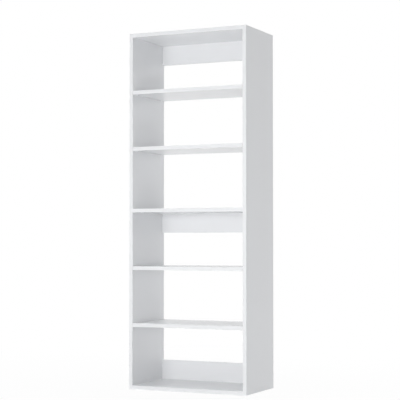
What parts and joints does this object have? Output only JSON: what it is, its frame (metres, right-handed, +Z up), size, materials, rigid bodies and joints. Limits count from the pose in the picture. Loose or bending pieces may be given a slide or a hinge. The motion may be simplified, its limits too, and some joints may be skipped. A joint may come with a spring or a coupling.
{
  "type": "closet shelf tower",
  "caption": "Tall white open-backed closet shelf tower with fixed panels, back rails and loose shelves on pins, for clothes, shoes and boxes.",
  "frame": {"origin": "on the floor, in the middle of the tower's footprint", "axes": "+X to the right seen from the front, +Y to the back, +Z up; the open front faces -Y"},
  "size_m": [0.654, 0.356, 1.829],
  "materials": {
    "white_melamine": "satin",
    "white_edge_band": "satin",
    "white_coated_steel": "satin",
    "zinc_casting": "satin",
    "zinc_plated_steel": "satin",
    "beech": "matte",
    "white_cap_plastic": "satin"
  },
  "bodies": {
    "carcass": {"left_side_panel": "white_melamine", "left_side_panel_edge_bands": "white_edge_band", "right_side_panel": "white_melamine", "right_side_panel_edge_bands": "white_edge_band", "top_panel": "white_melamine", "top_panel_edge_bands": "white_edge_band", "middle_panel": "white_melamine", "middle_panel_edge_bands": "white_edge_band", "bottom_panel": "white_melamine", "bottom_panel_edge_bands": "white_edge_band", "top_back_rail": "white_melamine", "top_back_rail_edge_bands": "white_edge_band", "middle_back_rail": "white_melamine", "middle_back_rail_edge_bands": "white_edge_band", "bottom_back_rail": "white_melamine", "bottom_back_rail_edge_bands": "white_edge_band", "upper_shelf_low_pins": "white_coated_steel", "upper_shelf_high_pins": "white_coated_steel", "lower_shelf_low_pins": "white_coated_steel", "lower_shelf_high_pins": "white_coated_steel", "top_panel_cam_bolts": "zinc_plated_steel", "top_panel_dowels": "beech", "middle_panel_cam_bolts": "zinc_plated_steel", "middle_panel_dowels": "beech", "bottom_panel_cam_bolts": "zinc_plated_steel", "bottom_panel_dowels": "beech", "top_back_rail_cam_bolts": "zinc_plated_steel", "top_back_rail_dowels": "beech", "middle_back_rail_cam_bolts": "zinc_plated_steel", "middle_back_rail_dowels": "beech", "bottom_back_rail_cam_bolts": "zinc_plated_steel", "bottom_back_rail_dowels": "beech", "middle_panel_cam_caps": "white_cap_plastic"},
    "upper_shelf_low": {"upper_shelf_low": "white_melamine", "upper_shelf_low_edge_bands": "white_edge_band"},
    "upper_shelf_high": {"upper_shelf_high": "white_melamine", "upper_shelf_high_edge_bands": "white_edge_band"},
    "lower_shelf_low": {"lower_shelf_low": "white_melamine", "lower_shelf_low_edge_bands": "white_edge_band"},
    "lower_shelf_high": {"lower_shelf_high": "white_melamine", "lower_shelf_high_edge_bands": "white_edge_band"},
    "top_panel_cam_left_front": {"top_panel_cam_left_front": "zinc_casting"},
    "top_panel_cam_right_front": {"top_panel_cam_right_front": "zinc_casting"},
    "top_panel_cam_left_rear": {"top_panel_cam_left_rear": "zinc_casting"},
    "top_panel_cam_right_rear": {"top_panel_cam_right_rear": "zinc_casting"},
    "middle_panel_cam_left_front": {"middle_panel_cam_left_front": "zinc_casting"},
    "middle_panel_cam_right_front": {"middle_panel_cam_right_front": "zinc_casting"},
    "middle_panel_cam_left_rear": {"middle_panel_cam_left_rear": "zinc_casting"},
    "middle_panel_cam_right_rear": {"middle_panel_cam_right_rear": "zinc_casting"},
    "bottom_panel_cam_left_front": {"bottom_panel_cam_left_front": "zinc_casting"},
    "bottom_panel_cam_right_front": {"bottom_panel_cam_right_front": "zinc_casting"},
    "bottom_panel_cam_left_rear": {"bottom_panel_cam_left_rear": "zinc_casting"},
    "bottom_panel_cam_right_rear": {"bottom_panel_cam_right_rear": "zinc_casting"},
    "top_back_rail_cam_left": {"top_back_rail_cam_left": "zinc_casting"},
    "top_back_rail_cam_right": {"top_back_rail_cam_right": "zinc_casting"},
    "middle_back_rail_cam_left": {"middle_back_rail_cam_left": "zinc_casting"},
    "middle_back_rail_cam_right": {"middle_back_rail_cam_right": "zinc_casting"},
    "bottom_back_rail_cam_left": {"bottom_back_rail_cam_left": "zinc_casting"},
    "bottom_back_rail_cam_right": {"bottom_back_rail_cam_right": "zinc_casting"}
  },
  "joints": [
    {"name": "upper_shelf_low_pull_out", "type": "slide", "parent": "carcass", "child": "upper_shelf_low", "axis": [0, -1, 0], "range_m": [0, 0.38]},
    {"name": "upper_shelf_high_pull_out", "type": "slide", "parent": "carcass", "child": "upper_shelf_high", "axis": [0, -1, 0], "range_m": [0, 0.38]},
    {"name": "lower_shelf_low_pull_out", "type": "slide", "parent": "carcass", "child": "lower_shelf_low", "axis": [0, -1, 0], "range_m": [0, 0.38]},
    {"name": "lower_shelf_high_pull_out", "type": "slide", "parent": "carcass", "child": "lower_shelf_high", "axis": [0, -1, 0], "range_m": [0, 0.38]},
    {"name": "top_panel_cam_left_front_turn", "type": "hinge", "parent": "carcass", "child": "top_panel_cam_left_front", "pos_m": [-0.284, -0.118, 1.8195], "axis": [0, 0, 1], "range_deg": [0, 180]},
    {"name": "top_panel_cam_right_front_turn", "type": "hinge", "parent": "carcass", "child": "top_panel_cam_right_front", "pos_m": [0.284, -0.118, 1.8195], "axis": [0, 0, 1], "range_deg": [0, 180]},
    {"name": "top_panel_cam_left_rear_turn", "type": "hinge", "parent": "carcass", "child": "top_panel_cam_left_rear", "pos_m": [-0.284, 0.118, 1.8195], "axis": [0, 0, 1], "range_deg": [0, 180]},
    {"name": "top_panel_cam_right_rear_turn", "type": "hinge", "parent": "carcass", "child": "top_panel_cam_right_rear", "pos_m": [0.284, 0.118, 1.8195], "axis": [0, 0, 1], "range_deg": [0, 180]},
    {"name": "middle_panel_cam_left_front_turn", "type": "hinge", "parent": "carcass", "child": "middle_panel_cam_left_front", "pos_m": [-0.284, -0.118, 0.9145], "axis": [0, 0, -1], "range_deg": [0, 180]},
    {"name": "middle_panel_cam_right_front_turn", "type": "hinge", "parent": "carcass", "child": "middle_panel_cam_right_front", "pos_m": [0.284, -0.118, 0.9145], "axis": [0, 0, -1], "range_deg": [0, 180]},
    {"name": "middle_panel_cam_left_rear_turn", "type": "hinge", "parent": "carcass", "child": "middle_panel_cam_left_rear", "pos_m": [-0.284, 0.118, 0.9145], "axis": [0, 0, -1], "range_deg": [0, 180]},
    {"name": "middle_panel_cam_right_rear_turn", "type": "hinge", "parent": "carcass", "child": "middle_panel_cam_right_rear", "pos_m": [0.284, 0.118, 0.9145], "axis": [0, 0, -1], "range_deg": [0, 180]},
    {"name": "bottom_panel_cam_left_front_turn", "type": "hinge", "parent": "carcass", "child": "bottom_panel_cam_left_front", "pos_m": [-0.284, -0.118, 0.0095], "axis": [0, 0, -1], "range_deg": [0, 180]},
    {"name": "bottom_panel_cam_right_front_turn", "type": "hinge", "parent": "carcass", "child": "bottom_panel_cam_right_front", "pos_m": [0.284, -0.118, 0.0095], "axis": [0, 0, -1], "range_deg": [0, 180]},
    {"name": "bottom_panel_cam_left_rear_turn", "type": "hinge", "parent": "carcass", "child": "bottom_panel_cam_left_rear", "pos_m": [-0.284, 0.118, 0.0095], "axis": [0, 0, -1], "range_deg": [0, 180]},
    {"name": "bottom_panel_cam_right_rear_turn", "type": "hinge", "parent": "carcass", "child": "bottom_panel_cam_right_rear", "pos_m": [0.284, 0.118, 0.0095], "axis": [0, 0, -1], "range_deg": [0, 180]},
    {"name": "top_back_rail_cam_left_turn", "type": "hinge", "parent": "carcass", "child": "top_back_rail_cam_left", "pos_m": [-0.284, 0.1685, 1.759], "axis": [0, 1, 0], "range_deg": [0, 180]},
    {"name": "top_back_rail_cam_right_turn", "type": "hinge", "parent": "carcass", "child": "top_back_rail_cam_right", "pos_m": [0.284, 0.1685, 1.759], "axis": [0, 1, 0], "range_deg": [0, 180]},
    {"name": "middle_back_rail_cam_left_turn", "type": "hinge", "parent": "carcass", "child": "middle_back_rail_cam_left", "pos_m": [-0.284, 0.1685, 0.854], "axis": [0, 1, 0], "range_deg": [0, 180]},
    {"name": "middle_back_rail_cam_right_turn", "type": "hinge", "parent": "carcass", "child": "middle_back_rail_cam_right", "pos_m": [0.284, 0.1685, 0.854], "axis": [0, 1, 0], "range_deg": [0, 180]},
    {"name": "bottom_back_rail_cam_left_turn", "type": "hinge", "parent": "carcass", "child": "bottom_back_rail_cam_left", "pos_m": [-0.284, 0.1685, 0.07], "axis": [0, 1, 0], "range_deg": [0, 180]},
    {"name": "bottom_back_rail_cam_right_turn", "type": "hinge", "parent": "carcass", "child": "bottom_back_rail_cam_right", "pos_m": [0.284, 0.1685, 0.07], "axis": [0, 1, 0], "range_deg": [0, 180]}
  ]
}
